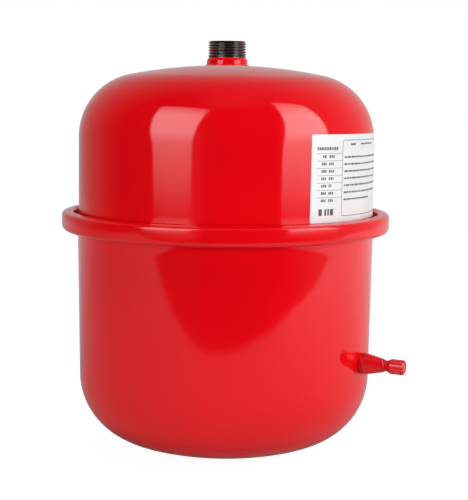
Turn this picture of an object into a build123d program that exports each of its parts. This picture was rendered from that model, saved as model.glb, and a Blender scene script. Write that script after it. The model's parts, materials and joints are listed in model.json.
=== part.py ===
"""Diaphragm expansion vessel of about eight litres for a sealed heating circuit.

The row frame has its origin at the centre of the flat on the base, with +Z up the vessel's axis
to the pipe connection.  The charging valve stands out of the lower shell.  Sizes are millimetres.
"""

from build123d import *
from math import asin, atan2, cos, degrees, radians, sin, sqrt
import os

os.makedirs("parts", exist_ok=True)

# ---------------------------------------------------------------- driving dimensions

sheet = 1.2  # steel sheet of both shells

# lower shell, the gas side
base_flat_radius = 20.0
lower_crown_radius = 226.5
lower_knuckle_radius = 47.3
lower_foot_radius = 101.03  # wall radius where the knuckle starts
lower_top_radius = 102.5  # wall radius under the clamp ring
lower_bend = 1.2

# clamp ring
ring_bottom = 155.0
ring_shoulder_height = 12.3  # at its outer edge
ring_lip_height = 13.6  # at the inner edge of the top lip
ring_radius = 113.4
ring_sheet = 1.6
ring_lip_radius = 105.3  # inner edge of the top lip
ring_foot_radius = 103.9  # inner edge of the bottom lip
ring_top_round = 2.5
ring_bottom_round = 3.5
ring_lip_round = 2.0

# upper shell, the water side
upper_radius = 101.9
upper_crown_radius = 346.4
upper_knuckle_radius = 44.0
crown_top = 268.5
upper_bend = 2.0
flange_radius = 107.0

# rubber diaphragm
rubber = 1.8
rubber_clearance = 0.7
bead_thickness = 3.2
bead_bulb_radius = 1.9
bead_bulb_centre = 108.8
diaphragm_crown_radius = 60.0
diaphragm_split = 0.15  # half the slit between the crown and the skirt

# pipe connection, G 3/4 male
nipple_bore_radius = 9.5
nipple_collar_radius = 14.0
nipple_collar_height = 3.4  # above the crown's top
nipple_shoulder = 1.7
nipple_lead_in = 1.5  # chamfer at the bore's lower end
thread_radius = 13.22
thread_end_radius = 12.0
thread_top = 285.1
thread_chamfer = 1.2
weld_width = 0.9
weld_height = 0.8

# rating label
label_start = 31.8  # degrees round from -Y towards +X
label_width = 118.0
label_bottom = 168.0
label_top = 225.0
label_thickness = 0.15

# charging valve; every height is measured outwards from the outer face of the wall
valve_azimuth = 66.0  # degrees round from -Y towards +X
valve_height = 69.2
valve_hole_radius = 5.75
valve_groove_outer = -0.5  # outer side of the rubber's groove for the wall
valve_groove_inner = -1.0  # start of the retaining bulb, trimmed by the wall's inner face

bulb_shoulder_radius = 9.3
bulb_radius = 9.5
bulb_height = -3.2
bulb_neck_radius = 8.9
bulb_neck_height = -6.8
bulb_tip_radius = 7.0
bulb_tip_height = -8.6

rubber_rim_radius = 6.9
rubber_rim_height = 0.6
rubber_base_radius = 7.4
rubber_base_height = 3.2
rubber_tip_radius = 4.6
rubber_tip_height = 15.9
rubber_end = 16.5

stem_foot_radius = 4.6
stem_foot = -9.0
stem_foot_thickness = 1.5
stem_radius = 3.3
stem_thread_radius = 3.85
stem_thread_start = 13.0
stem_end = 28.6
stem_chamfer = 0.6
stem_bore_radius = 1.5
stem_seat_radius = 2.15
stem_seat_bottom = 9.5
stem_seat_top = 21.8
stem_plug_radius = 2.6
stem_plug_bottom = 23.2

# valve core
barrel_radius = 1.85
barrel_bore_radius = 1.5
barrel_mouth_radius = 0.85
barrel_mouth_thickness = 0.8
barrel_flange_radius = 2.3
barrel_flange_bottom = 23.1
barrel_bottom = 14.6
barrel_top = 23.55
gasket_bottom = 21.9
gasket_bottom_radius = 2.12
gasket_top_radius = 2.5
plug_top = 27.8
plug_recess_bottom = 26.2
plug_recess_radius = 1.5
plug_chamfer = 0.2
pin_radius = 0.5
pin_guide_radius = 0.6
pin_bottom = 11.8
pin_collar_radius = 1.3
pin_collar_bottom = 22.7
pin_collar_top = 23.2
pin_head_radius = 0.9
pin_head_bottom = 27.9
pin_top = 28.3
pin_chamfer = 0.1
cup_bottom = 12.6
cup_top = 14.3
cup_radius = 1.7
cup_inner_radius = 1.45
cup_thickness = 0.6
cup_chamfer = 0.3
cup_seal_lip = 14.4
cup_seal_radius = 1.3
seat_gap = 0.03
spring_bottom = 15.6
spring_top = 22.5
spring_radius = 1.05
spring_wire = 0.15
spring_turns = 7

# valve cap
cap_radius = 5.05
cap_bore_radius = 3.95
cap_start = 19.9
cap_end = 30.7
cap_chamfer = 0.8
cap_lead_in = 1.4
cap_bore_end = 29.4
cap_seal_inner_radius = 1.4
cap_seal_radius = 3.7
cap_seal_bottom = 28.65
cap_seal_top = 29.3

# ---------------------------------------------------------------- worked-out places

ring_shoulder = ring_bottom + ring_shoulder_height
ring_lip_top = ring_bottom + ring_lip_height
lower_flange_bottom = ring_bottom + ring_sheet
bead_bottom = lower_flange_bottom + sheet
bead_top = bead_bottom + bead_thickness
upper_flange_top = bead_top + sheet

base_angle = degrees(asin(base_flat_radius / lower_crown_radius))
knuckle_reach = lower_crown_radius - lower_knuckle_radius


# The lower wall leans outwards, from the head's knuckle at its foot to the bend under the flange.
# Both ends move a little with the lean itself, so it is found by repetition.
wall_lean = 0.0
for _ in range(12):
    knuckle_centre = lower_foot_radius - lower_knuckle_radius * cos(radians(wall_lean))
    lower_crown_angle = degrees(asin(knuckle_centre / knuckle_reach))
    base_drop = sqrt(lower_crown_radius**2 - base_flat_radius**2)
    centre_height = base_drop - knuckle_reach * cos(radians(lower_crown_angle))
    lower_foot_height = centre_height - lower_knuckle_radius * sin(radians(wall_lean))
    lower_bend_height = lower_flange_bottom - lower_bend * (1 - sin(radians(wall_lean)))
    wall_lean = degrees(atan2(lower_top_radius - lower_foot_radius, lower_bend_height - lower_foot_height))

upper_head_angle = degrees(asin((upper_radius - upper_knuckle_radius)
                                / (upper_crown_radius - upper_knuckle_radius)))
upper_head_height = upper_crown_radius - ((upper_crown_radius - upper_knuckle_radius)
                                          * cos(radians(upper_head_angle)))
upper_tangent = crown_top - upper_head_height


def around(azimuth):
    """Level unit vector at this azimuth from -Y towards +X."""
    return Vector(sin(radians(azimuth)), -cos(radians(azimuth)), 0)


# the valve stands square to the leaning wall
valve_wall_radius = lower_foot_radius + (valve_height - lower_foot_height) * sin(radians(wall_lean))
valve_outward = around(valve_azimuth) * cos(radians(wall_lean)) - Vector(0, 0, sin(radians(wall_lean)))
valve_upward = around(valve_azimuth) * sin(radians(wall_lean)) + Vector(0, 0, cos(radians(wall_lean)))
valve_foot = around(valve_azimuth) * valve_wall_radius + Vector(0, 0, valve_height)
valve_axis = Axis(valve_foot, valve_outward)
valve_plane = Plane(origin=valve_foot, x_dir=valve_upward, z_dir=valve_outward)
valve_section = Plane(origin=valve_foot, x_dir=valve_upward, z_dir=valve_upward.cross(valve_outward))

# ---------------------------------------------------------------- helpers


def head_arcs(inset):
    """Crown and knuckle of the upper head, set inwards by inset, drawn into the open BuildLine."""
    crown = JernArc((0, crown_top - inset), (1, 0), upper_crown_radius - inset, -upper_head_angle)
    return JernArc(crown @ 1, crown % 1, upper_knuckle_radius - inset, upper_head_angle - 90)


def outline(plane, points):
    """Closed section through (radius, height) points on the given plane."""
    with BuildSketch(plane) as section:
        with BuildLine():
            Polyline(points, close=True)
        make_face()
    return section.sketch


def finish(part, label):
    """Name a finished piece and write it."""
    part.label = label
    export_step(part, f"parts/{label}.step")


# ---------------------------------------------------------------- steel shells

with BuildPart() as upper_shell:
    with BuildSketch(Plane.XZ):
        with BuildLine():
            upper_knuckle = head_arcs(0)
            upper_wall = Line(upper_knuckle @ 1, (upper_radius, upper_flange_top + upper_bend))
            upper_turn = JernArc(upper_wall @ 1, (0, -1), upper_bend, 90)
            Line(upper_turn @ 1, (flange_radius, upper_flange_top))
            offset(amount=sheet, side=Side.RIGHT)
        make_face()
    revolve(axis=Axis.Z)
    with BuildSketch(Plane.XY.offset(crown_top)):
        Circle(nipple_collar_radius)
    extrude(amount=2 * sheet, both=True, mode=Mode.SUBTRACT)

with BuildPart() as lower_shell:
    with BuildSketch(Plane.XZ):
        with BuildLine():
            base_flat = Line((0, 0), (base_flat_radius, 0))
            base_crown = JernArc(
                base_flat @ 1,
                (cos(radians(base_angle)), sin(radians(base_angle))),
                lower_crown_radius,
                lower_crown_angle - base_angle,
            )
            base_knuckle = JernArc(
                base_crown @ 1, base_crown % 1, lower_knuckle_radius, 90 - lower_crown_angle - wall_lean
            )
            lower_wall = Line(base_knuckle @ 1, (lower_top_radius, lower_bend_height))
            lower_turn = JernArc(lower_wall @ 1, lower_wall % 1, lower_bend, wall_lean - 90)
            Line(lower_turn @ 1, (flange_radius, lower_flange_bottom))
            offset(amount=sheet, side=Side.LEFT)
        make_face()
    revolve(axis=Axis.Z)
    with BuildSketch(valve_plane):
        Circle(valve_hole_radius)
    extrude(amount=4 * sheet, both=True, mode=Mode.SUBTRACT)

# ---------------------------------------------------------------- clamp ring, rolled round both flanges

with BuildPart() as clamp_ring:
    with BuildSketch(Plane.XZ):
        with BuildLine():
            FilletPolyline(
                (ring_lip_radius, upper_flange_top),
                (ring_lip_radius, ring_lip_top),
                (ring_radius, ring_shoulder),
                (ring_radius, ring_bottom),
                (ring_foot_radius, ring_bottom),
                radius=[ring_lip_round, ring_top_round, ring_bottom_round],
            )
            offset(amount=ring_sheet, side=Side.RIGHT)
        make_face()
    revolve(axis=Axis.Z)

# ---------------------------------------------------------------- diaphragm, one rubber moulding in three nodes

diaphragm_outer = upper_radius - sheet - rubber_clearance
diaphragm_inner = diaphragm_outer - rubber

with BuildPart() as diaphragm_bead:
    with BuildSketch(Plane.XZ):
        with Locations((diaphragm_inner, bead_bottom)):
            Rectangle(
                bead_bulb_centre - diaphragm_inner, bead_thickness, align=(Align.MIN, Align.MIN)
            )
        with Locations((bead_bulb_centre, bead_bottom + bead_thickness / 2)):
            Circle(bead_bulb_radius)
    revolve(axis=Axis.Z)

with BuildPart() as diaphragm_cup:
    with BuildSketch(Plane.XZ):
        with BuildLine():
            rubber_knuckle = head_arcs(sheet + rubber_clearance)
            Line(rubber_knuckle @ 1, (diaphragm_outer, bead_top))
            offset(amount=rubber, side=Side.RIGHT)
        make_face()
    revolve(axis=Axis.Z)

with BuildPart() as diaphragm_skirt:
    add(diaphragm_cup.part)
    with BuildSketch(Plane.XY.offset(bead_top)):
        Circle(diaphragm_crown_radius + diaphragm_split)
    extrude(amount=crown_top, mode=Mode.SUBTRACT)

with BuildPart() as diaphragm_crown:
    add(diaphragm_cup.part)
    with BuildSketch(Plane.XY.offset(bead_top)):
        Circle(diaphragm_crown_radius - diaphragm_split)
    extrude(amount=crown_top, mode=Mode.INTERSECT)

# ---------------------------------------------------------------- pipe connection

collar_top = crown_top + nipple_collar_height
thread_foot = collar_top + nipple_shoulder
nipple_foot = crown_top - sheet

with BuildPart() as connection_nipple:
    revolve(
        outline(
            Plane.XZ,
            [
                (nipple_bore_radius, nipple_foot + nipple_lead_in),
                (nipple_bore_radius + nipple_lead_in, nipple_foot),
                (nipple_collar_radius, nipple_foot),
                (nipple_collar_radius, collar_top),
                (thread_radius, thread_foot),
                (thread_radius, thread_top - thread_chamfer),
                (thread_end_radius, thread_top),
                (nipple_bore_radius, thread_top),
            ],
        ),
        axis=Axis.Z,
    )

with BuildPart() as nipple_weld:
    with BuildSketch(Plane.XZ):
        with BuildLine():
            weld_foot = Polyline(
                (nipple_collar_radius, crown_top + weld_height - 0.3),
                (nipple_collar_radius, nipple_foot),
                (nipple_collar_radius + weld_width, nipple_foot),
                (nipple_collar_radius + weld_width, crown_top - 0.3),
            )
            RadiusArc(weld_foot @ 1, weld_foot @ 0, -weld_width)
        make_face()
    revolve(axis=Axis.Z)
    add(upper_shell.part, mode=Mode.SUBTRACT)

# ---------------------------------------------------------------- rating label, a film on the upper wall

with BuildPart() as rating_label:
    label_edge = Plane(
        origin=(0, 0, 0), x_dir=around(label_start), z_dir=around(label_start).cross(Vector(0, 0, 1))
    )
    with BuildSketch(label_edge):
        with BuildLine():
            label_wall = Line((upper_radius, label_bottom), (upper_radius, upper_tangent))
            label_bend = degrees(asin((label_top - upper_tangent) / upper_knuckle_radius))
            JernArc(label_wall @ 1, (0, 1), upper_knuckle_radius, label_bend)
            offset(amount=label_thickness, side=Side.RIGHT)
        make_face()
    revolve(axis=Axis.Z, revolution_arc=degrees(label_width / upper_radius))

# ---------------------------------------------------------------- charging valve, turned round its own axis


def turned(points):
    """Solid turned round the valve's axis from (radius, height) points, added to the open part."""
    revolve(outline(valve_section, points), axis=valve_axis)


stem_foot_top = stem_foot + stem_foot_thickness

with BuildPart() as valve_rubber:
    turned(
        [
            (stem_radius, stem_foot_top),
            (stem_foot_radius, stem_foot_top),
            (stem_foot_radius, bulb_tip_height),
            (bulb_tip_radius, bulb_tip_height),
            (bulb_neck_radius, bulb_neck_height),
            (bulb_radius, bulb_height),
            (bulb_shoulder_radius, valve_groove_inner),
            (valve_hole_radius, valve_groove_inner),
            (valve_hole_radius, valve_groove_outer),
            (rubber_rim_radius - 0.1, valve_groove_outer),
            (rubber_rim_radius, rubber_rim_height),
            (rubber_base_radius - 0.05, rubber_base_height - 1.0),
            (rubber_base_radius, rubber_base_height),
            (rubber_tip_radius, rubber_tip_height),
            (rubber_tip_radius - 0.4, rubber_end),
            (stem_thread_radius, rubber_end),
            (stem_thread_radius, stem_thread_start),
            (stem_radius, stem_thread_start),
        ]
    )
    add(lower_shell.part, mode=Mode.SUBTRACT)

with BuildPart() as valve_stem:
    turned(
        [
            (stem_bore_radius, stem_foot),
            (stem_foot_radius, stem_foot),
            (stem_foot_radius, stem_foot_top),
            (stem_radius, stem_foot_top),
            (stem_radius, stem_thread_start),
            (stem_thread_radius, stem_thread_start),
            (stem_thread_radius, stem_end - stem_chamfer),
            (stem_thread_radius - stem_chamfer, stem_end),
            (stem_plug_radius, stem_end),
            (stem_plug_radius, stem_plug_bottom),
            (stem_seat_radius, stem_seat_top),
            (stem_seat_radius, stem_seat_bottom),
            (stem_bore_radius, stem_seat_bottom),
        ]
    )

with BuildPart() as core_plug:
    turned(
        [
            (pin_guide_radius, barrel_top),
            (stem_plug_radius, barrel_top),
            (stem_plug_radius, plug_top - plug_chamfer),
            (stem_plug_radius - plug_chamfer, plug_top),
            (plug_recess_radius, plug_top),
            (plug_recess_radius, plug_recess_bottom),
            (pin_guide_radius, plug_recess_bottom),
        ]
    )

with BuildPart() as core_gasket:
    turned(
        [
            (barrel_radius, gasket_bottom),
            (gasket_bottom_radius, gasket_bottom),
            (gasket_top_radius, barrel_flange_bottom),
            (barrel_radius, barrel_flange_bottom),
        ]
    )

with BuildPart() as core_barrel:
    turned(
        [
            (barrel_mouth_radius, barrel_bottom),
            (barrel_radius, barrel_bottom),
            (barrel_radius, barrel_flange_bottom),
            (barrel_flange_radius, barrel_flange_bottom),
            (barrel_flange_radius, barrel_top),
            (barrel_bore_radius, barrel_top),
            (barrel_bore_radius, barrel_bottom + barrel_mouth_thickness),
            (barrel_mouth_radius, barrel_bottom + barrel_mouth_thickness),
        ]
    )

with BuildPart() as core_pin:
    turned(
        [
            (0, pin_bottom),
            (pin_radius, pin_bottom),
            (pin_radius, pin_collar_bottom),
            (pin_collar_radius, pin_collar_bottom),
            (pin_collar_radius, pin_collar_top),
            (pin_radius, pin_collar_top),
            (pin_radius, pin_head_bottom - pin_chamfer),
            (pin_head_radius, pin_head_bottom),
            (pin_head_radius, pin_top - pin_chamfer),
            (pin_head_radius - 3 * pin_chamfer, pin_top),
            (0, pin_top),
        ]
    )

with BuildPart() as core_cup:
    turned(
        [
            (pin_radius, cup_bottom),
            (cup_inner_radius, cup_bottom),
            (cup_radius, cup_bottom + cup_chamfer),
            (cup_radius, cup_top),
            (cup_inner_radius, cup_top),
            (cup_inner_radius, cup_bottom + cup_thickness),
            (pin_radius, cup_bottom + cup_thickness),
        ]
    )

with BuildPart() as core_cup_seal:
    turned(
        [
            (pin_radius, cup_bottom + cup_thickness),
            (cup_inner_radius, cup_bottom + cup_thickness),
            (cup_inner_radius, cup_seal_lip),
            (cup_seal_radius, barrel_bottom - seat_gap),
            (pin_radius, barrel_bottom - seat_gap),
        ]
    )

with BuildPart() as core_spring:
    with BuildLine() as coil:
        Helix(
            pitch=(spring_top - spring_bottom) / spring_turns,
            height=spring_top - spring_bottom,
            radius=spring_radius,
            center=valve_foot + valve_outward * spring_bottom,
            direction=valve_outward,
        )
    with BuildSketch(Plane(origin=coil.line @ 0, z_dir=coil.line % 0)):
        Circle(spring_wire)
    sweep(is_frenet=True)

with BuildPart() as cap_seal:
    turned(
        [
            (cap_seal_inner_radius, cap_seal_bottom),
            (cap_seal_radius, cap_seal_bottom),
            (cap_seal_radius, cap_seal_top),
            (cap_seal_inner_radius, cap_seal_top),
        ]
    )

with BuildPart() as valve_cap:
    turned(
        [
            (cap_bore_radius, cap_start),
            (cap_radius - cap_chamfer, cap_start),
            (cap_radius, cap_start + cap_lead_in),
            (cap_radius, cap_end - cap_chamfer),
            (cap_radius - cap_chamfer, cap_end),
            (0, cap_end),
            (0, cap_bore_end),
            (cap_bore_radius, cap_bore_end),
        ]
    )

# ---------------------------------------------------------------- names and files

pieces = {
    "upper_shell": upper_shell,
    "lower_shell": lower_shell,
    "clamp_ring": clamp_ring,
    "diaphragm_bead": diaphragm_bead,
    "diaphragm_skirt": diaphragm_skirt,
    "diaphragm_crown": diaphragm_crown,
    "connection_nipple": connection_nipple,
    "nipple_weld": nipple_weld,
    "rating_label": rating_label,
    "valve_rubber": valve_rubber,
    "valve_stem": valve_stem,
    "core_plug": core_plug,
    "core_gasket": core_gasket,
    "core_barrel": core_barrel,
    "core_pin": core_pin,
    "core_cup": core_cup,
    "core_cup_seal": core_cup_seal,
    "core_spring": core_spring,
    "cap_seal": cap_seal,
    "valve_cap": valve_cap,
}
for name, piece in pieces.items():
    finish(piece.part, name)
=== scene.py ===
"""Looks of a diaphragm expansion vessel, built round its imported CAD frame.

Sizes are millimetres and become metres where a mesh is made; the studio's are metres throughout.
"""

import json
import random
from math import asin, atan2, cos, degrees, pi, radians, sin, sqrt, tan

import bmesh
import bpy
from mathutils import Matrix, Vector


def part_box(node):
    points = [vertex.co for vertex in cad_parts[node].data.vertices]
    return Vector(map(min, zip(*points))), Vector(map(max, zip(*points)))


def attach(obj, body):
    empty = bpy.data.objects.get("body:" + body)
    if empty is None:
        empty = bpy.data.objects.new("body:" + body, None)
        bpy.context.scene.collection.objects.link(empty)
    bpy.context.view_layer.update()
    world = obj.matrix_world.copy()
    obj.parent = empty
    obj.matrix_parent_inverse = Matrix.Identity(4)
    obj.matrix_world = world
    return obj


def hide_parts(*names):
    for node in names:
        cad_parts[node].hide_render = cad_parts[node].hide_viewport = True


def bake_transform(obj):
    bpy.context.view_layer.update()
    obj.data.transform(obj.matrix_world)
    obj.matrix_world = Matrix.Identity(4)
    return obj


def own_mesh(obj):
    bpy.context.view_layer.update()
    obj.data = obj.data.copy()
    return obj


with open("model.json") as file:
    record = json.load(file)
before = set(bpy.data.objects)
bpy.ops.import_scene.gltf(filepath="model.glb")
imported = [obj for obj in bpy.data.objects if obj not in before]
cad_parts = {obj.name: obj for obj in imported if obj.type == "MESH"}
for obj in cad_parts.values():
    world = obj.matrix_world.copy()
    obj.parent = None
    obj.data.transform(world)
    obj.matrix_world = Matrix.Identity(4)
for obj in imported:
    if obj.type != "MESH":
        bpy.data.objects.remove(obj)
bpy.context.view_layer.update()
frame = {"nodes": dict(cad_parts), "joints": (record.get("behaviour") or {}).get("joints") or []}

MM = 0.001

# ---------------------------------------------------------------- sizes taken from the frame


def box_mm(node):
    """Lowest and highest corner of a CAD node, in millimetres."""
    low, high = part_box(node)
    return low / MM, high / MM


joints = {joint["name"]: joint for joint in frame["joints"]}

ring_low, ring_high = box_mm("clamp_ring")
ring_radius = ring_high.x
ring_bottom = ring_low.z
bead_low, bead_high = box_mm("diaphragm_bead")
bead_middle = (bead_low.z + bead_high.z) / 2
flange_radius = box_mm("upper_shell")[1].x
lower_flange_top = box_mm("lower_shell")[1].z
nipple_low, nipple_high = box_mm("connection_nipple")
nipple_foot = nipple_low.z
thread_top = nipple_high.z
collar_radius = nipple_high.x

# ---------------------------------------------------------------- sizes shared with the CAD model

sheet = 1.2

base_flat_radius = 20.0
lower_crown_radius = 226.5
lower_knuckle_radius = 47.3
lower_foot_radius = 101.03
lower_top_radius = 102.5
lower_bend = 1.2

ring_sheet = 1.6
ring_lip_radius = 105.3
ring_shoulder = ring_bottom + 12.3  # at its outer edge
ring_lip_top = ring_bottom + 13.6  # at the inner edge of its top lip
ring_foot_radius = 103.9

upper_radius = 101.9
upper_crown_radius = 346.4
upper_knuckle_radius = 44.0
crown_top = nipple_foot + sheet
upper_bend = 2.0

rubber = 1.8
rubber_clearance = 0.7
bead_thickness = 3.2
bead_bulb_radius = 1.9
bead_bulb_centre = 108.8

inch = 25.4

nipple_bore_radius = 9.5
collar_top = crown_top + 3.4
thread_foot = collar_top + 1.7
thread_start = thread_foot + 0.6
thread_radius = 13.22
thread_depth = 1.16
thread_pitch = inch / 14
thread_undercut = 0.6
thread_chamfer = 1.2
weld_width = 0.9
weld_height = 0.8
weld_ripples = 44
ripple_depth = 0.08
ripple_sweep = 1.1

label_start = 31.8  # degrees round from -Y towards +X
label_width = 118.0
label_bottom = 168.0
label_top = 225.0
label_lean = 0.8  # degrees, its far end lies lower

# heights on the valve are measured outwards from the shell, along the valve's axis
valve_hole_radius = 5.75
rubber_end = 16.5
stem_radius = 3.3
stem_foot_radius = 4.6
stem_foot_top = -7.5
stem_thread_start = 13.0
stem_thread_radius = 3.85
stem_thread_depth = 0.42
stem_thread_pitch = inch / 32
stem_groove_start = 17.2
stem_end = 28.6
cap_radius = 5.05
cap_bore_radius = 3.95
cap_start = 19.9
cap_end = 30.7
cap_bore_end = 29.4
cap_ribs = 18
rib_depth = 0.34
rib_start = cap_start + 1.1
rib_end = cap_end - 1.0
rib_run_out = 0.6
rib_fullness = 0.7
spring_bottom = 15.6
spring_top = 22.5
spring_radius = 1.05
spring_wire = 0.15
spring_turns = 7

lower_flange_bottom = lower_flange_top - sheet
bead_top = bead_middle + bead_thickness / 2
upper_flange_top = bead_top + sheet

upper_reach = upper_crown_radius - upper_knuckle_radius
upper_head_angle = asin((upper_radius - upper_knuckle_radius) / upper_reach)
upper_tangent = crown_top - upper_crown_radius + upper_reach * cos(upper_head_angle)

shell_turns = 256

# ---------------------------------------------------------------- mesh helpers


def arc(centre, radius, start, end, steps):
    """Points on an arc round a (radius, height) centre, between two angles in degrees."""
    angles = [radians(start + (end - start) * step / steps) for step in range(steps + 1)]
    return [(centre[0] + radius * cos(a), centre[1] + radius * sin(a)) for a in angles]


def rounded(corners, steps=5):
    """Closed outline through (radius, height, rounding) corners."""
    path = []
    for index, (x, y, rounding) in enumerate(corners):
        here = Vector((x, y))
        if not rounding:
            path.append((x, y))
            continue
        before = (Vector(corners[index - 1][:2]) - here).normalized()
        after = (Vector(corners[(index + 1) % len(corners)][:2]) - here).normalized()
        half = before.angle(after) / 2
        middle = here + (before + after).normalized() * rounding / sin(half)
        first = here + before * rounding / tan(half) - middle
        last = here + after * rounding / tan(half) - middle
        start = atan2(first.y, first.x)
        sweep = (atan2(last.y, last.x) - start + pi) % (2 * pi) - pi
        for step in range(steps + 1):
            angle = start + sweep * step / steps
            path.append((middle.x + rounding * cos(angle), middle.y + rounding * sin(angle)))
    return path


def spaced(profile, step):
    """The same closed outline, with points about step apart along its straight stretches."""
    path = []
    for (x0, y0), (x1, y1) in zip(profile, profile[1:] + profile[:1]):
        cuts = max(1, round(sqrt((x1 - x0) ** 2 + (y1 - y0) ** 2) / step))
        path += [(x0 + (x1 - x0) * k / cuts, y0 + (y1 - y0) * k / cuts) for k in range(cuts)]
    return path


def piece_from(bm, name, materials, sharp=35.0):
    """Blender object from a bmesh, smooth shaded except over edges sharper than this angle."""
    bmesh.ops.recalc_face_normals(bm, faces=bm.faces)
    mesh = bpy.data.meshes.new(name)
    bm.to_mesh(mesh)
    bm.free()
    for material in materials:
        mesh.materials.append(material)
    mesh.polygons.foreach_set("use_smooth", [True] * len(mesh.polygons))
    mesh.set_sharp_from_angle(angle=radians(sharp))
    piece = bpy.data.objects.new(name, mesh)
    bpy.context.scene.collection.objects.link(piece)
    return piece


def lathe(name, profile, turns, materials, place=None, relief=None, pick=None, sharp=35.0):
    """Piece turned from a closed (radius, height) outline round the Z axis of place.

    relief(radius, height, angle) gives the radius there, and pick(radius, height) the material slot.
    """
    bm = bmesh.new()
    rings = []
    for radius, height in profile:
        if radius < 1e-6:
            rings.append([bm.verts.new((0, 0, height * MM))] * turns)
            continue
        ring = []
        for turn in range(turns):
            angle = 2 * pi * turn / turns
            r = relief(radius, height, angle) if relief else radius
            ring.append(bm.verts.new((r * cos(angle) * MM, r * sin(angle) * MM, height * MM)))
        rings.append(ring)
    rows = list(zip(profile, rings))
    for ((r0, h0), low), ((r1, h1), high) in zip(rows, rows[1:] + rows[:1]):
        if low[0] is low[1] and high[0] is high[1]:
            continue
        slot = pick((r0 + r1) / 2, (h0 + h1) / 2) if pick else 0
        for turn in range(turns):
            following = (turn + 1) % turns
            corners = [low[turn], low[following], high[following], high[turn]]
            bm.faces.new(list(dict.fromkeys(corners))).material_index = slot
    if place:
        bm.transform(place)
    return piece_from(bm, name, materials, sharp)


def screw(pitch, major, depth, foot, top):
    """Relief of a right-hand V thread between two heights, growing in at its foot."""
    flat = 0.15  # cut off the V at its crests and at its roots, as a share of the depth
    run_in = 0.5 * pitch

    def relief(radius, height, angle):
        if not foot < height < top:
            return radius
        wave = abs((height / pitch - angle / (2 * pi)) % 1 * 2 - 1)
        groove = 1 - min(max(wave * (1 + 2 * flat) - flat, 0), 1)
        grown = min(1.0, (height - foot) / run_in)
        return min(radius, major - depth * groove * grown)

    return relief


# ---------------------------------------------------------------- material helpers


class Shader:
    """One node material, with short calls for the nodes that the finishes share."""

    def __init__(self, name):
        self.material = bpy.data.materials.new(name)
        self.material.use_nodes = True
        self.nodes = self.material.node_tree.nodes
        self.links = self.material.node_tree.links
        self.bsdf = self.nodes["Principled BSDF"]
        self.place = self.nodes.new("ShaderNodeTexCoord").outputs["Object"]

    def link(self, source, target):
        """Join an output to an input, or set the input if the source is a plain value."""
        if isinstance(source, bpy.types.NodeSocket):
            self.links.new(source, target)
        else:
            target.default_value = source

    def noise(self, size, detail=2.0, rough=0.5, stretch=(1, 1, 1)):
        """Noise with features about size millimetres across."""
        mapping = self.nodes.new("ShaderNodeMapping")
        mapping.inputs["Scale"].default_value = [1 / (size * MM * s) for s in stretch]
        self.links.new(self.place, mapping.inputs["Vector"])
        noise = self.nodes.new("ShaderNodeTexNoise")
        noise.inputs["Scale"].default_value = 1.0
        noise.inputs["Detail"].default_value = detail
        noise.inputs["Roughness"].default_value = rough
        self.links.new(mapping.outputs["Vector"], noise.inputs["Vector"])
        return noise.outputs["Fac"]

    def span(self, value, low, high, to_low=0.0, to_high=1.0):
        """Value mapped from one range to another, held at its ends."""
        node = self.nodes.new("ShaderNodeMapRange")
        self.links.new(value, node.inputs["Value"])
        ends = {"From Min": low, "From Max": high, "To Min": to_low, "To Max": to_high}
        for name, number in ends.items():
            self.link(number, node.inputs[name])
        return node.outputs["Result"]

    def maths(self, operation, a, b):
        """One maths node."""
        node = self.nodes.new("ShaderNodeMath")
        node.operation = operation
        self.link(a, node.inputs[0])
        self.link(b, node.inputs[1])
        return node.outputs["Value"]

    def mix(self, share, a, b):
        """Colour a turning into colour b."""
        node = self.nodes.new("ShaderNodeMix")
        node.data_type = "RGBA"
        self.link(share, node.inputs["Factor"])
        self.link(a, node.inputs["A"])
        self.link(b, node.inputs["B"])
        return node.outputs["Result"]

    def axis(self, name):
        """One coordinate of the place, in metres."""
        node = self.nodes.new("ShaderNodeSeparateXYZ")
        self.links.new(self.place, node.inputs["Vector"])
        return node.outputs[name]

    def bump(self, height, depth, below=None):
        """Bump of this depth in millimetres, over another bump."""
        node = self.nodes.new("ShaderNodeBump")
        node.inputs["Distance"].default_value = depth * MM
        self.links.new(height, node.inputs["Height"])
        if below:
            self.links.new(below, node.inputs["Normal"])
        return node.outputs["Normal"]

    def finish(self, colour, rough, normal=None, **values):
        """Set the shader's sockets, by their names with underscores."""
        self.link(colour, self.bsdf.inputs["Base Color"])
        self.link(rough, self.bsdf.inputs["Roughness"])
        if normal:
            self.links.new(normal, self.bsdf.inputs["Normal"])
        for name, value in values.items():
            self.bsdf.inputs[name.replace("_", " ")].default_value = value
        return self.material


def gloss_paint(name, bright, deep, rough, peel, crown_haze=0.0):
    """Stoved gloss paint: slow changes of depth, orange peel, dust nibs and fine scratches.

    crown_haze dulls the crown round the pipe connection, where the welding heat was.
    """
    nib_red = (0.60, 0.003, 0.006, 1)
    scratch_roughness = 0.18
    shader = Shader(name)
    depth = shader.span(shader.noise(70, 2), 0.35, 0.65)
    nibs = shader.span(shader.noise(5.0, 1, 0.3), 0.80, 0.83)
    colour = shader.mix(nibs, shader.mix(depth, bright, deep), nib_red)
    scratch = shader.span(shader.noise(1.2, 2, 0.6, (1, 1, 26)), 0.74, 0.78)
    soft = shader.span(shader.noise(26, 3), 0.3, 0.7, rough * 0.85, rough * 1.2)
    normal = shader.bump(shader.noise(3.4, 1.5), peel)
    normal = shader.bump(shader.noise(45, 1), peel * 6, normal)
    normal = shader.bump(nibs, 0.012, normal)
    if crown_haze:
        haze = shader.span(shader.axis("Z"), (crown_top - 5.5) * MM, (crown_top - 1.0) * MM, 0, crown_haze)
        below_collar = shader.span(shader.axis("Z"), (crown_top + 0.1) * MM, (crown_top + 0.5) * MM, 1, 0)
        soft = shader.maths("ADD", soft, shader.maths("MULTIPLY", haze, below_collar))
    soft = shader.maths("ADD", soft, shader.maths("MULTIPLY", scratch, scratch_roughness))
    return shader.finish(colour, soft, normal, IOR=1.5)


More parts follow.
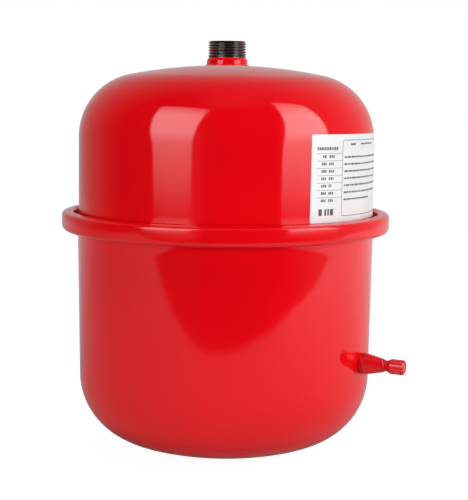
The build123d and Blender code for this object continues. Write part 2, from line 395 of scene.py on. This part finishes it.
def bare_steel(name):
    """Turned steel under a film of oil, with red overspray on its lowest turns."""
    dark_steel = (0.085, 0.09, 0.085, 1)
    light_steel = (0.15, 0.155, 0.15, 1)
    spray_red = (0.42, 0.006, 0.012, 1)
    shader = Shader(name)
    height = shader.span(shader.axis("Z"), (thread_foot - 0.4) * MM, (thread_foot + 2.4) * MM, 1.0, 0.0)
    flecks = shader.maths("MULTIPLY", shader.noise(1.6, 3), 0.9)
    spray = shader.span(shader.maths("ADD", height, flecks), 1.05, 1.45)
    grain = shader.span(shader.noise(0.5, 3), 0.3, 0.7)
    colour = shader.mix(spray, shader.mix(grain, dark_steel, light_steel), spray_red)
    shader.link(shader.span(spray, 0, 1, 1.0, 0.0), shader.bsdf.inputs["Metallic"])
    rough = shader.span(shader.noise(1.2, 3), 0.3, 0.7, 0.12, 0.22)
    return shader.finish(colour, rough, shader.bump(grain, 0.008))


def metal(name, light, dark, rough, grain):
    """Turned or drawn metal with a fine grain."""
    shader = Shader(name)
    fine = shader.noise(grain, 3)
    colour = shader.mix(shader.span(fine, 0.3, 0.7), light, dark)
    worn = shader.span(fine, 0.3, 0.7, rough * 0.8, rough * 1.3)
    return shader.finish(colour, worn, shader.bump(fine, 0.004), Metallic=1.0)


def moulded_rubber(name, light, dark):
    """Matt moulded rubber with a dusty bloom."""
    shader = Shader(name)
    bloom = shader.span(shader.noise(14, 4, 0.6), 0.4, 0.7)
    normal = shader.bump(shader.noise(0.5, 3), 0.02)
    return shader.finish(shader.mix(bloom, dark, light), shader.span(bloom, 0, 1, 0.62, 0.8), normal)


def label_film(name):
    """White satin film with faint cockling."""
    shader = Shader(name)
    shade = shader.span(shader.noise(20, 3), 0.35, 0.65)
    colour = shader.mix(shade, (0.74, 0.755, 0.765, 1), (0.70, 0.715, 0.73, 1))
    rough = shader.span(shader.noise(3, 2), 0.3, 0.7, 0.28, 0.36)
    return shader.finish(colour, rough, shader.bump(shader.noise(11, 2), 0.03))


def label_ink(name):
    """Thermal print with slightly uneven density."""
    shader = Shader(name)
    shade = shader.span(shader.noise(0.8, 3), 0.35, 0.65)
    colour = shader.mix(shade, (0.03, 0.032, 0.036, 1), (0.09, 0.092, 0.10, 1))
    return shader.finish(colour, shader.span(shade, 0, 1, 0.35, 0.5))


red = (0.76, 0.0011, 0.0048, 1)
deep_red = (0.72, 0.0009, 0.0045, 1)
rubber_red = (0.68, 0.002, 0.008, 1)
deep_rubber_red = (0.56, 0.0015, 0.006, 1)
cap_red = (0.68, 0.003, 0.010, 1)
deep_cap_red = (0.56, 0.002, 0.007, 1)

shell_paint = gloss_paint("gloss_red_paint", red, deep_red, rough=0.075, peel=0.0045, crown_haze=0.05)
ring_paint = gloss_paint("gloss_red_ring_paint", red, deep_red, rough=0.11, peel=0.004)
valve_paint = gloss_paint("red_paint_on_rubber", rubber_red, deep_rubber_red, rough=0.16, peel=0.006)
cap_paint = gloss_paint("red_paint_on_cap", cap_red, deep_cap_red, rough=0.16, peel=0.004)
thread_steel = bare_steel("oiled_thread_steel")
brass = metal("turned_brass", (0.80, 0.56, 0.24, 1), (0.66, 0.44, 0.17, 1), rough=0.26, grain=0.35)
pin_steel = metal("drawn_steel", (0.62, 0.61, 0.58, 1), (0.45, 0.44, 0.42, 1), rough=0.28, grain=0.25)
black_rubber = moulded_rubber("diaphragm_rubber", (0.045, 0.045, 0.048, 1), (0.018, 0.018, 0.019, 1))
seal_rubber = moulded_rubber("seal_rubber", (0.035, 0.035, 0.037, 1), (0.015, 0.015, 0.016, 1))
film = label_film("white_label_film")
ink = label_ink("label_ink")

# ---------------------------------------------------------------- steel shells


def upper_head(inset, hole_radius):
    """Crown and knuckle of the upper head, set inwards by inset, from the edge of a hole down."""
    crown = upper_crown_radius - inset
    knuckle = upper_knuckle_radius - inset
    edge = 90 - degrees(upper_head_angle)
    hole = 90 - degrees(asin(hole_radius / crown))
    head = arc((0, crown_top - upper_crown_radius), crown, hole, edge, 14)
    head += arc((upper_radius - upper_knuckle_radius, upper_tangent), knuckle, edge, 0, 26)[1:]
    return head


bend_centre = (upper_radius + upper_bend, upper_flange_top + upper_bend)
outer_side = upper_head(0, collar_radius) + arc(bend_centre, upper_bend, 180, 270, 6)
outer_side += [(flange_radius, upper_flange_top)]
inner_side = upper_head(sheet, collar_radius) + arc(bend_centre, upper_bend + sheet, 180, 270, 6)
inner_side += [(flange_radius, upper_flange_top - sheet)]
upper_profile = spaced(outer_side + inner_side[::-1], 9)

upper_skin = lathe("upper_shell_painted", upper_profile, shell_turns, [shell_paint])
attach(upper_skin, "root")
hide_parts("upper_shell")

base_angle = asin(base_flat_radius / lower_crown_radius)
lower_reach = lower_crown_radius - lower_knuckle_radius
crown_centre = sqrt(lower_crown_radius**2 - base_flat_radius**2)

# the wall leans outwards; its two ends move a little with the lean, so it is found by repetition
lean = 0.0
for _ in range(12):
    knuckle_centre = lower_foot_radius - lower_knuckle_radius * cos(lean)
    lower_angle = asin(knuckle_centre / lower_reach)
    knuckle_height = crown_centre - lower_reach * cos(lower_angle)
    lower_foot_height = knuckle_height - lower_knuckle_radius * sin(lean)
    lower_bend_height = lower_flange_bottom - lower_bend * (1 - sin(lean))
    lean = atan2(lower_top_radius - lower_foot_radius, lower_bend_height - lower_foot_height)


def lower_head(inset):
    """Base, knuckle and wall of the lower shell, set inwards by inset, from its middle up."""
    crown = lower_crown_radius - inset
    knuckle = lower_knuckle_radius - inset
    edge = degrees(lower_angle) - 90
    head = [(0, inset)]
    head += arc((0, crown_centre), crown, degrees(base_angle) - 90, edge, 18)
    head += arc((knuckle_centre, knuckle_height), knuckle, edge, -degrees(lean), 26)[1:]
    return head


bend_middle = (
    lower_top_radius + lower_bend * cos(lean),
    lower_bend_height - lower_bend * sin(lean),
)
lean_degrees = degrees(lean)
outer_side = lower_head(0) + arc(bend_middle, lower_bend, 180 - lean_degrees, 90, 5)
outer_side += [(flange_radius, lower_flange_bottom)]
inner_side = lower_head(sheet) + arc(bend_middle, lower_bend + sheet, 180 - lean_degrees, 90, 5)
inner_side += [(flange_radius, lower_flange_top)]
lower_profile = spaced(outer_side + inner_side[::-1], 9)

lower_skin = lathe("lower_shell_painted", lower_profile, shell_turns, [shell_paint])
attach(lower_skin, "root")
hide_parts("lower_shell")

# ---------------------------------------------------------------- clamp ring


def ring_outline():
    """Section of the rolled ring: a hook over the upper flange and a lip under the lower one."""
    slope = (ring_lip_top - ring_shoulder) / (ring_radius - ring_lip_radius)
    inner_shoulder = ring_shoulder + ring_sheet * (slope - sqrt(1 + slope**2))
    inner_lip = ring_lip_top - ring_sheet * (slope + sqrt(1 + slope**2))
    outline = [
        (ring_lip_radius, upper_flange_top, 0),
        (ring_lip_radius, ring_lip_top, 2.0),
        (ring_radius, ring_shoulder, 2.5),
        (ring_radius, ring_bottom, 3.5),
        (ring_foot_radius, ring_bottom, 0.7),
        (ring_foot_radius, ring_bottom + ring_sheet, 0),
        (ring_radius - ring_sheet, ring_bottom + ring_sheet, 1.9),
        (ring_radius - ring_sheet, inner_shoulder, 0.9),
        (ring_lip_radius + ring_sheet, inner_lip, 0.4),
        (ring_lip_radius + ring_sheet, upper_flange_top, 0),
    ]
    return spaced(rounded(outline, 9), 6)


ring_skin = lathe("clamp_ring_painted", ring_outline(), shell_turns, [ring_paint])
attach(ring_skin, "root")
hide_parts("clamp_ring")

# ---------------------------------------------------------------- pipe connection and its weld

nipple_corners = [
    (nipple_bore_radius, nipple_foot, 0),
    (collar_radius, nipple_foot, 0),
    (collar_radius, collar_top, 0.5),
    (thread_radius - thread_undercut, thread_foot, 0.3),
    (thread_radius - thread_undercut, thread_foot + 0.5, 0.15),
    (thread_radius, thread_foot + 0.9, 0.1),
    (thread_radius, thread_top - thread_chamfer, 0.25),
    (thread_radius - thread_chamfer, thread_top, 0.2),
    (nipple_bore_radius, thread_top, 0.5),
]
# bare steel above the collar and inside the bore
nipple_skin = lathe(
    "connection_nipple_threaded",
    spaced(rounded(nipple_corners, 4), thread_pitch / 12),
    160,
    [shell_paint, thread_steel],
    relief=screw(thread_pitch, thread_radius, thread_depth, thread_start, thread_top - 0.1),
    pick=lambda radius, height: int(height > thread_foot + 0.1 or radius < collar_radius - 2.5),
    sharp=60,
)
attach(nipple_skin, "root")
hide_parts("connection_nipple")


def ripple(radius, height, angle):
    """Overlapping half-moons left by the welding torch."""
    beyond = radius - collar_radius
    if beyond < 0.1:
        return radius
    return radius + ripple_depth * sin(weld_ripples * angle + ripple_sweep * beyond) * min(1, beyond)


weld_root = collar_radius - 0.4
weld_foot = crown_top - 0.9
weld_outline = [(weld_root, weld_foot), (collar_radius + weld_width, weld_foot)]
weld_outline += arc((collar_radius, crown_top - 0.35), weld_width, 0, 90, 10)[1:-1]
weld_outline = [(r, min(h, crown_top + weld_height)) for r, h in weld_outline]
weld_outline += [(weld_root, crown_top + weld_height)]
weld_skin = lathe("nipple_weld_bead", weld_outline, weld_ripples * 6, [shell_paint], relief=ripple)
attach(weld_skin, "root")
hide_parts("nipple_weld")

# the photographed crown mirrors the bright room and not the pipe connection
nipple_skin.visible_glossy = False
weld_skin.visible_glossy = False

# ---------------------------------------------------------------- rating label and its print

label_height = upper_tangent - label_bottom
label_height += upper_knuckle_radius * asin((label_top - upper_tangent) / upper_knuckle_radius)


def on_wall(u, v, lift):
    """Point on the upper shell: u round from the label's first edge, v up from its foot, lifted off."""
    lean_angle = radians(label_lean)
    around = radians(label_start) + (u * cos(lean_angle) + v * sin(lean_angle)) / upper_radius
    height = label_bottom + v * cos(lean_angle) - u * sin(lean_angle)
    radius = upper_radius + lift
    if height > upper_tangent:
        turn = (height - upper_tangent) / upper_knuckle_radius
        radius = upper_radius - upper_knuckle_radius + (upper_knuckle_radius + lift) * cos(turn)
        height = upper_tangent + (upper_knuckle_radius + lift) * sin(turn)
    return Vector((radius * sin(around), -radius * cos(around), height)) * MM


def slab(bm, rows, low, high):
    """Closed thin slab on the wall over a grid of (u, v) points, between two lifts."""
    top = [[bm.verts.new(on_wall(u, v, high)) for u, v in row] for row in rows]
    foot = [[bm.verts.new(on_wall(u, v, low)) for u, v in row] for row in rows]
    for side in (top, foot):
        for a, b in zip(side, side[1:]):
            for k in range(len(a) - 1):
                bm.faces.new((a[k], a[k + 1], b[k + 1], b[k]))

    def rim(grid):
        """The grid's outer points, once round."""
        edge = list(grid[0]) + [row[-1] for row in grid[1:]]
        return edge + list(grid[-1][-2::-1]) + [row[0] for row in grid[-2:0:-1]]

    upper, lower = rim(top), rim(foot)
    for k in range(len(upper)):
        following = (k + 1) % len(upper)
        bm.faces.new((upper[k], upper[following], lower[following], lower[k]))


def spread(low, high, step):
    """Evenly spaced values from low to high, at most about step apart."""
    count = max(1, round((high - low) / step))
    return [low + (high - low) * k / count for k in range(count + 1)]


film_corner = 1.3
film_thickness = 0.14
film_rows = []
corner_heights = [film_corner * share for share in (0.0, 0.08, 0.25, 0.55)]
heights = corner_heights + spread(film_corner, label_height - film_corner, 2.2)
heights += [label_height - height for height in corner_heights[::-1]]
for height in heights:
    short = max(0.0, film_corner - min(height, label_height - height))
    inset = film_corner - sqrt(film_corner**2 - short**2)
    film_rows.append([(u, height) for u in spread(inset, label_width - inset, 2.4)])
columns = max(len(row) for row in film_rows)
film_rows = [
    [(row[0][0] + (row[-1][0] - row[0][0]) * k / (columns - 1), row[0][1]) for k in range(columns)]
    for row in film_rows
]

bm = bmesh.new()
slab(bm, film_rows, 0.0, film_thickness)
label_skin = piece_from(bm, "rating_label_film", [film])
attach(label_skin, "root")
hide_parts("rating_label")

ink_low, ink_high = 0.10, 0.155
draws = random.Random(8)
bm = bmesh.new()


def bar(u0, u1, v0, v1):
    """One printed block."""
    slab(bm, [[(u, v) for u in spread(u0, u1, 2.0)] for v in (v0, v1)], ink_low, ink_high)


def words(u0, u1, v, tall, shortest, longest, gap):
    """A row of blocks of uneven length that stands for a line of small print."""
    u = u0
    while u < u1 - shortest:
        end = min(u1, u + draws.uniform(shortest, longest))
        bar(u, end, v, v + tall * draws.uniform(0.85, 1.0))
        u = end + gap * draws.uniform(0.8, 1.3)


# first column: a heading, seven ruled rows with short marks, and four large blocks at the foot
rule_start = 4.4
panel_start = 27.4
first_rule = 44.7
rule_step = 4.72
rule_thickness = 0.22
label_rows = 7
short_row = 4
mark_foot = 4.9
mark_head = 9.1
words(rule_start + 0.2, 24.0, first_rule + 2.3, tall=2.1, shortest=0.9, longest=1.7, gap=0.45)
row_marks = {"tall": 1.9, "shortest": 0.9, "longest": 1.4, "gap": 0.45}
for row in range(label_rows):
    rule = first_rule - rule_step * row
    bar(rule_start, panel_start, rule, rule + rule_thickness)
    words(9.2 if row == 0 else 8.2, 12.8, rule - 2.7, **row_marks)
    words(14.6, 17.0 if row == short_row else 19.5, rule - 2.7, **row_marks)
for start, end in ((6.6, 9.4), (11.6, 13.2), (14.2, 15.6), (16.6, 19.4)):
    bar(start, end, mark_foot, mark_head)

# second panel: a rounded frame with a heading and seven lines of small print
panel_end = label_width - 4.0
panel_foot = 3.9
panel_head = 53.4
panel_corner = 2.2
stroke = 0.38
frame_step = 2.2
frame_corners = []
for cu, cv, start in (
    (panel_end - panel_corner, panel_foot + panel_corner, -90),
    (panel_end - panel_corner, panel_head - panel_corner, 0),
    (panel_start + panel_corner, panel_head - panel_corner, 90),
    (panel_start + panel_corner, panel_foot + panel_corner, 180),
):
    frame_corners.append([(cu, cv, angle) for angle in spread(start, start + 90, 15)])
path = []
for here, following in zip(frame_corners, frame_corners[1:] + frame_corners[:1]):
    path += here
    (u0, v0, angle), (u1, v1, _) = here[-1], following[0]
    cuts = spread(0, 1, frame_step / (abs(u1 - u0) + abs(v1 - v0)))[1:-1]
    path += [(u0 + (u1 - u0) * cut, v0 + (v1 - v0) * cut, angle) for cut in cuts]
frame_rows = [
    [(u + reach * cos(radians(a)), v + reach * sin(radians(a))) for u, v, a in path + path[:1]]
    for reach in (panel_corner - stroke, panel_corner)
]
slab(bm, frame_rows, ink_low, ink_high)

words(36.5, 44.0, panel_head - 3.6, tall=1.5, shortest=1.6, longest=3.0, gap=0.5)
words(50.0, 74.0, panel_head - 3.4, tall=1.1, shortest=1.8, longest=4.2, gap=0.7)
first_line = 41.7
line_step = 4.57
line_marks = {"tall": 1.15, "shortest": 1.4, "longest": 4.6, "gap": 0.65}
for row, line_end in enumerate((96, 104, 108, 90, 101, 84, 66)):
    words(panel_start + 2.2, line_end, first_line - line_step * row, **line_marks)
print_skin = piece_from(bm, "rating_label_print", [ink])
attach(print_skin, "root")

# ---------------------------------------------------------------- charging valve

valve_outward = Vector(joints["cap_turn"]["axis"]).normalized()
valve_foot = Vector(joints["cap_turn"]["pos_m"])
valve_side = valve_outward.cross(Vector((0, 0, 1))).normalized()
valve_upward = valve_side.cross(valve_outward)
valve_across = valve_outward.cross(valve_upward)
valve_place = Matrix((valve_upward, valve_across, valve_outward)).transposed().to_4x4()
valve_place = Matrix.Translation(valve_foot) @ valve_place

bulb_end = -8.6  # the bulb lies inside the shell
rim_foot = -0.5
groove_radius = 6.5  # of the groove between the rim and the cone
rubber_bore_radius = 3.88

rubber_corners = [
    (stem_radius, stem_foot_top, 0),
    (stem_foot_radius, stem_foot_top, 0),
    (stem_foot_radius, bulb_end, 0.2),
    (7.0, bulb_end, 0.7),
    (8.9, -6.8, 0.9),
    (9.5, -3.2, 1.2),
    (9.2, -1.35, 0.3),
    (valve_hole_radius, -1.2, 0),
    (valve_hole_radius, rim_foot, 0),
    (6.8, rim_foot, 0),
    (7.0, 0.5, 0.3),
    (7.35, 1.6, 0.35),
    (7.2, 2.0, 0.15),
    (groove_radius, 2.2, 0.1),
    (groove_radius, 2.7, 0.1),
    (7.3, 2.9, 0.15),
    (7.35, 3.3, 0.5),
    (4.6, 15.9, 1.0),
    (4.2, rubber_end, 0.15),
    (rubber_bore_radius, rubber_end, 0),
    (rubber_bore_radius, stem_thread_start, 0),
    (stem_radius, stem_thread_start, 0),
]
rubber_skin = lathe(
    "valve_rubber_painted", spaced(rounded(rubber_corners), 1.2), 96, [valve_paint], valve_place
)
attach(rubber_skin, "root")
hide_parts("valve_rubber")

stem_foot = -9.0
stem_chamfer = 0.6
bore_radius = 1.5  # below the core
core_bore_radius = 2.15
core_seat = 9.5
core_thread_radius = 2.6

stem_corners = [
    (bore_radius, stem_foot, 0.1),
    (stem_foot_radius, stem_foot, 0.2),
    (stem_foot_radius, stem_foot_top, 0),
    (stem_radius, stem_foot_top, 0),
    (stem_radius, stem_thread_start, 0),
    (stem_thread_radius, stem_thread_start, 0),
    (stem_thread_radius, stem_end - stem_chamfer, 0.1),
    (stem_thread_radius - stem_chamfer, stem_end, 0.1),
    (core_thread_radius, stem_end, 0),
    (core_thread_radius, 23.2, 0),
    (core_bore_radius, 21.8, 0),
    (core_bore_radius, core_seat, 0),
    (bore_radius, core_seat, 0),
]
stem_skin = lathe(
    "valve_stem_threaded",
    spaced(rounded(stem_corners, 3), stem_thread_pitch / 8),
    72,
    [brass, valve_paint],
    valve_place,
    relief=screw(
        stem_thread_pitch, stem_thread_radius, stem_thread_depth, stem_groove_start, stem_end - 0.1
    ),
    pick=lambda radius, height: int(
        radius > stem_radius - 0.1 and stem_thread_start - 0.1 < height < cap_start + 0.4
    ),
    sharp=60,
)
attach(stem_skin, "root")
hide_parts("valve_stem")


def ribbed(radius, height, angle):
    """Grip ribs along the outside of the cap's barrel."""
    if radius < cap_bore_radius + 0.01:
        return radius
    along = min(height - rib_start, rib_end - height)
    if along <= 0:
        return radius
    valley = max(0.0, cos(cap_ribs * angle)) ** rib_fullness
    return radius - rib_depth * valley * min(1.0, along / rib_run_out)


cap_corners = [
    (cap_bore_radius, cap_start, 0.15),
    (cap_radius - 0.8, cap_start, 0.15),
    (cap_radius, cap_start + 1.4, 0.3),
    (cap_radius, cap_end - 0.8, 0.3),
    (cap_radius - 0.8, cap_end, 0.3),
    (0, cap_end, 0),
    (0, cap_bore_end, 0),
    (cap_bore_radius, cap_bore_end, 0.2),
]
cap_skin = lathe(
    "valve_cap_ribbed",
    spaced(rounded(cap_corners), 0.5),
    cap_ribs * 12,
    [cap_paint],
    valve_place,
    relief=ribbed,
)
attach(cap_skin, "cap")
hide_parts("valve_cap")

for node, material in (
    ("core_plug", brass),
    ("core_barrel", brass),
    ("core_cup", brass),
    ("core_pin", pin_steel),
    ("core_gasket", seal_rubber),
    ("core_cup_seal", seal_rubber),
    ("cap_seal", seal_rubber),
):
    mesh = frame["nodes"][node].data
    mesh.materials.clear()
    mesh.materials.append(material)


def coil_spring(name, material):
    """Round wire wound about the valve's axis, with a flat face at each end of the wire."""
    per_turn, sides = 24, 8
    steps = spring_turns * per_turn
    bm = bmesh.new()
    loops = []
    for step in range(steps + 1):
        angle = 2 * pi * step / per_turn
        height = spring_bottom + (spring_top - spring_bottom) * step / steps
        loop = []
        for side in range(sides):
            around = 2 * pi * side / sides
            r = spring_radius + spring_wire * cos(around)
            z = height + spring_wire * sin(around)
            loop.append(bm.verts.new((r * cos(angle) * MM, r * sin(angle) * MM, z * MM)))
        loops.append(loop)
    for a, b in zip(loops, loops[1:]):
        for side in range(sides):
            following = (side + 1) % sides
            bm.faces.new((a[side], a[following], b[following], b[side]))
    bm.faces.new(loops[0])
    bm.faces.new(loops[-1])
    bm.transform(valve_place)
    return piece_from(bm, name, [material], sharp=50)


spring_skin = coil_spring("core_spring_wire", pin_steel)
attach(spring_skin, "root")
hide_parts("core_spring")
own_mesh(spring_skin)

# ---------------------------------------------------------------- diaphragm, one moulding

bead_bottom = bead_top - bead_thickness
rubber_inset = sheet + rubber_clearance
skirt_outer = upper_radius - rubber_inset
skirt_inner = skirt_outer - rubber
bulb_lift = degrees(asin(bead_thickness / 2 / bead_bulb_radius))
outer_fillet = 0.8
inner_fillet = 1.0
bulb_middle = (bead_bulb_centre, bead_middle)
diaphragm_outline = upper_head(rubber_inset, 0)
diaphragm_outline += arc((skirt_outer + outer_fillet, bead_top + outer_fillet), outer_fillet, 180, 270, 4)
diaphragm_outline += arc(bulb_middle, bead_bulb_radius, 180 - bulb_lift, bulb_lift - 180, 16)
diaphragm_outline += arc((skirt_inner + inner_fillet, bead_bottom + inner_fillet), inner_fillet, 270, 180, 4)
diaphragm_outline += upper_head(rubber_inset + rubber, 0)[::-1]
diaphragm_skin = lathe("diaphragm_moulding", spaced(diaphragm_outline, 3), 128, [black_rubber])
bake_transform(diaphragm_skin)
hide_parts("diaphragm_bead", "diaphragm_skirt", "diaphragm_crown")

# ---------------------------------------------------------------- studio
# a white table, two soft boxes that show only in the gloss, four fill lamps and a pale room


def seen_and_reflected(nodes, links, seen, reflected, target):
    """One shader for what the camera sees and another for all other light."""
    chooser = nodes.new("ShaderNodeMixShader")
    links.new(nodes.new("ShaderNodeLightPath").outputs["Is Camera Ray"], chooser.inputs["Fac"])
    links.new(reflected, chooser.inputs[1])
    links.new(seen, chooser.inputs[2])
    links.new(chooser.outputs["Shader"], target)


black = (0, 0, 0, 1)
white = (1, 1, 1, 1)

# the table's front edge shows in the lower shell's gloss; reflections meet paper with painted shade on the
# left and a painted glow far behind, and the camera sees plain lit paper
table_front = [
    (-1.4, -0.77),
    (-0.76, -0.62),
    (-0.12, -0.47),
    (0.20, -0.50),
    (0.52, -0.45),
    (1.0, -0.17),
    (1.4, 0.04),
]
table_back = 1.6
table_height = -0.0002
table_paper = Shader("white_table_paper")
grain = table_paper.span(table_paper.noise(300, 2), 0.3, 0.7)
grain = table_paper.span(grain, 0, 1, -0.02, 0.02)
# painted shade: the paper seen in reflections is darkened on the left, where less light falls, over its
# grain
side_shade = table_paper.span(table_paper.axis("X"), 0.1, 0.8, 0.58, 0.97)
paper_grain_and_painted_shade = table_paper.mix(table_paper.maths("ADD", grain, side_shade), black, white)
table_paper.finish(paper_grain_and_painted_shade, 0.9, Specular_IOR_Level=0.0, Emission_Color=white)
# painted light: the paper seen in reflections glows more the further behind it lies
far_glow = table_paper.span(table_paper.axis("Y"), 0.1, 0.9, 0.0, 0.35)
table_paper.link(far_glow, table_paper.bsdf.inputs["Emission Strength"])
lit_paper = table_paper.nodes.new("ShaderNodeBsdfPrincipled")
for name, value in (
    ("Base Color", (0.30, 0.30, 0.30, 1)),
    ("Roughness", 0.9),
    ("Specular IOR Level", 0.0),
    ("Emission Color", white),
    ("Emission Strength", 0.93),
):
    lit_paper.inputs[name].default_value = value
seen_and_reflected(
    table_paper.nodes,
    table_paper.links,
    lit_paper.outputs["BSDF"],
    table_paper.bsdf.outputs["BSDF"],
    table_paper.nodes["Material Output"].inputs["Surface"],
)
bm = bmesh.new()
front = [bm.verts.new((x, y, table_height)) for x, y in table_front]
back = [bm.verts.new((x, table_back, table_height)) for x, _ in table_front]
for k in range(len(front) - 1):
    bm.faces.new((front[k], front[k + 1], back[k + 1], back[k]))
piece_from(bm, "table", [table_paper.material])

studio_middle = Vector((0, 0, ring_shoulder * MM))


def bearing(azimuth, elevation):
    """Direction as seen from the vessel: degrees round from the front towards +X, and degrees up."""
    around, rise = radians(azimuth), radians(elevation)
    return Vector((sin(around) * cos(rise), -cos(around) * cos(rise), sin(rise)))


def soft_box(name, corners, low, bright, top_fade):
    """Glowing panel 1 m off, through (azimuth, elevation) corners seen from the vessel's middle.

    It is dim below the ring's level, nearly half bright at that level and bright higher up, and it
    fades again between the two heights of top_fade, in metres above the ring.
    """
    level = studio_middle.z
    foot_depth = 0.075
    head_height = 0.26
    share_at_ring = 0.45
    share_after_fade = 0.25
    shader = Shader(name + "_glow")
    height = shader.axis("Z")
    foot = shader.span(height, level - foot_depth, level, low, bright * share_at_ring)
    head = shader.span(height, level, level + head_height, 0, bright * (1 - share_at_ring))
    fade = shader.span(height, level + top_fade[0], level + top_fade[1], 1.0, share_after_fade)
    glow = shader.maths("MULTIPLY", shader.maths("ADD", foot, head), fade)
    shader.finish(black, 1.0, Emission_Color=white)
    shader.link(glow, shader.bsdf.inputs["Emission Strength"])
    places = [studio_middle + bearing(*corner) for corner in corners]
    cells = 12
    bm = bmesh.new()
    grid = []
    for row in range(cells + 1):
        left = places[0].lerp(places[3], row / cells)
        right = places[1].lerp(places[2], row / cells)
        grid.append([bm.verts.new(left.lerp(right, column / cells)) for column in range(cells + 1)])
    for lower, upper in zip(grid, grid[1:]):
        for k in range(cells):
            bm.faces.new((lower[k], lower[k + 1], upper[k + 1], upper[k]))
    panel = piece_from(bm, name, [shader.material])
    panel.visible_camera = False
    panel.visible_diffuse = False
    panel.visible_shadow = False


left_corners = [(-66, 50), (-17, 54), (-25, -5), (-53, -5)]
right_corners = [(56, 62), (81, 50), (79, -5), (40, -5)]
soft_box("soft_box_left", left_corners, low=0.2, bright=4.6, top_fade=(0.60, 0.80))
soft_box("soft_box_right", right_corners, low=0.4, bright=5.4, top_fade=(0.55, 0.85))

lamp_distance = 1.6
lamp_width = 0.9


def fill_light(name, azimuth, elevation, power):
    """Wide soft lamp that lightens the paint and hardly shows in its gloss."""
    lamp = bpy.data.lights.new(name, "AREA")
    lamp.size = lamp_width
    lamp.energy = power
    toward = bearing(azimuth, elevation)
    holder = bpy.data.objects.new(name, lamp)
    holder.matrix_world = (
        Matrix.Translation(studio_middle + toward * lamp_distance)
        @ toward.to_track_quat("Z", "Y").to_matrix().to_4x4()
    )
    holder.visible_glossy = False
    bpy.context.scene.collection.objects.link(holder)


fill_light("fill_side", 88, 7, power=8.0)
fill_light("fill_right", 56, 7, power=14.6)
fill_light("fill_left", -34, 7, power=14.6)
fill_light("fill_top", 10, 75, power=11.0)

# the room is dim in front of the table and pale behind it, a little paler low down and on the
# right; the camera sees a white backdrop
world = bpy.data.worlds.new("pale_room")
bpy.context.scene.world = world
world.use_nodes = True
nodes, links = world.node_tree.nodes, world.node_tree.links
direction = nodes.new("ShaderNodeTexCoord").outputs["Generated"]
split = nodes.new("ShaderNodeSeparateXYZ")
links.new(direction, split.inputs["Vector"])
paleness = split.outputs["Y"]
for name, weight in (("Z", -0.2), ("X", 0.3)):
    weighed = nodes.new("ShaderNodeMath")
    weighed.operation = "MULTIPLY_ADD"
    links.new(split.outputs[name], weighed.inputs[0])
    weighed.inputs[1].default_value = weight
    links.new(paleness, weighed.inputs[2])
    paleness = weighed.outputs["Value"]
room = nodes.new("ShaderNodeMapRange")
for name, number in (("From Min", -0.35), ("From Max", 1.25), ("To Min", 0.03), ("To Max", 0.64)):
    room.inputs[name].default_value = number
links.new(paleness, room.inputs["Value"])
backdrop = nodes.new("ShaderNodeBackground")
links.new(room.outputs["Result"], nodes["Background"].inputs["Strength"])
nodes["Background"].inputs["Color"].default_value = white
backdrop.inputs["Color"].default_value = white
seen_and_reflected(
    nodes,
    links,
    backdrop.outputs["Background"],
    nodes["Background"].outputs["Background"],
    nodes["World Output"].inputs["Surface"],
)

# ---------------------------------------------------------------- camera

camera_distance = 1.0
camera_elevation = radians(5.8)
camera_roll = radians(0.62)
camera_lens = 103.2
camera_shift = (0.017, -0.063)
aim = Vector((0, 0, 0.1622))
away = Vector((0, -cos(camera_elevation), sin(camera_elevation)))
camera_data = bpy.data.cameras.new("camera")
camera_data.sensor_width = 36.0
camera_data.lens = camera_lens
camera_data.shift_x, camera_data.shift_y = camera_shift
camera_data.clip_start = 0.05
camera = bpy.data.objects.new("camera", camera_data)
camera.matrix_world = (
    Matrix.Translation(aim + away * camera_distance)
    @ away.to_track_quat("Z", "Y").to_matrix().to_4x4()
    @ Matrix.Rotation(camera_roll, 4, "Z")
)
bpy.context.scene.collection.objects.link(camera)
bpy.context.scene.camera = camera
bpy.context.scene.view_settings.view_transform = "Standard"
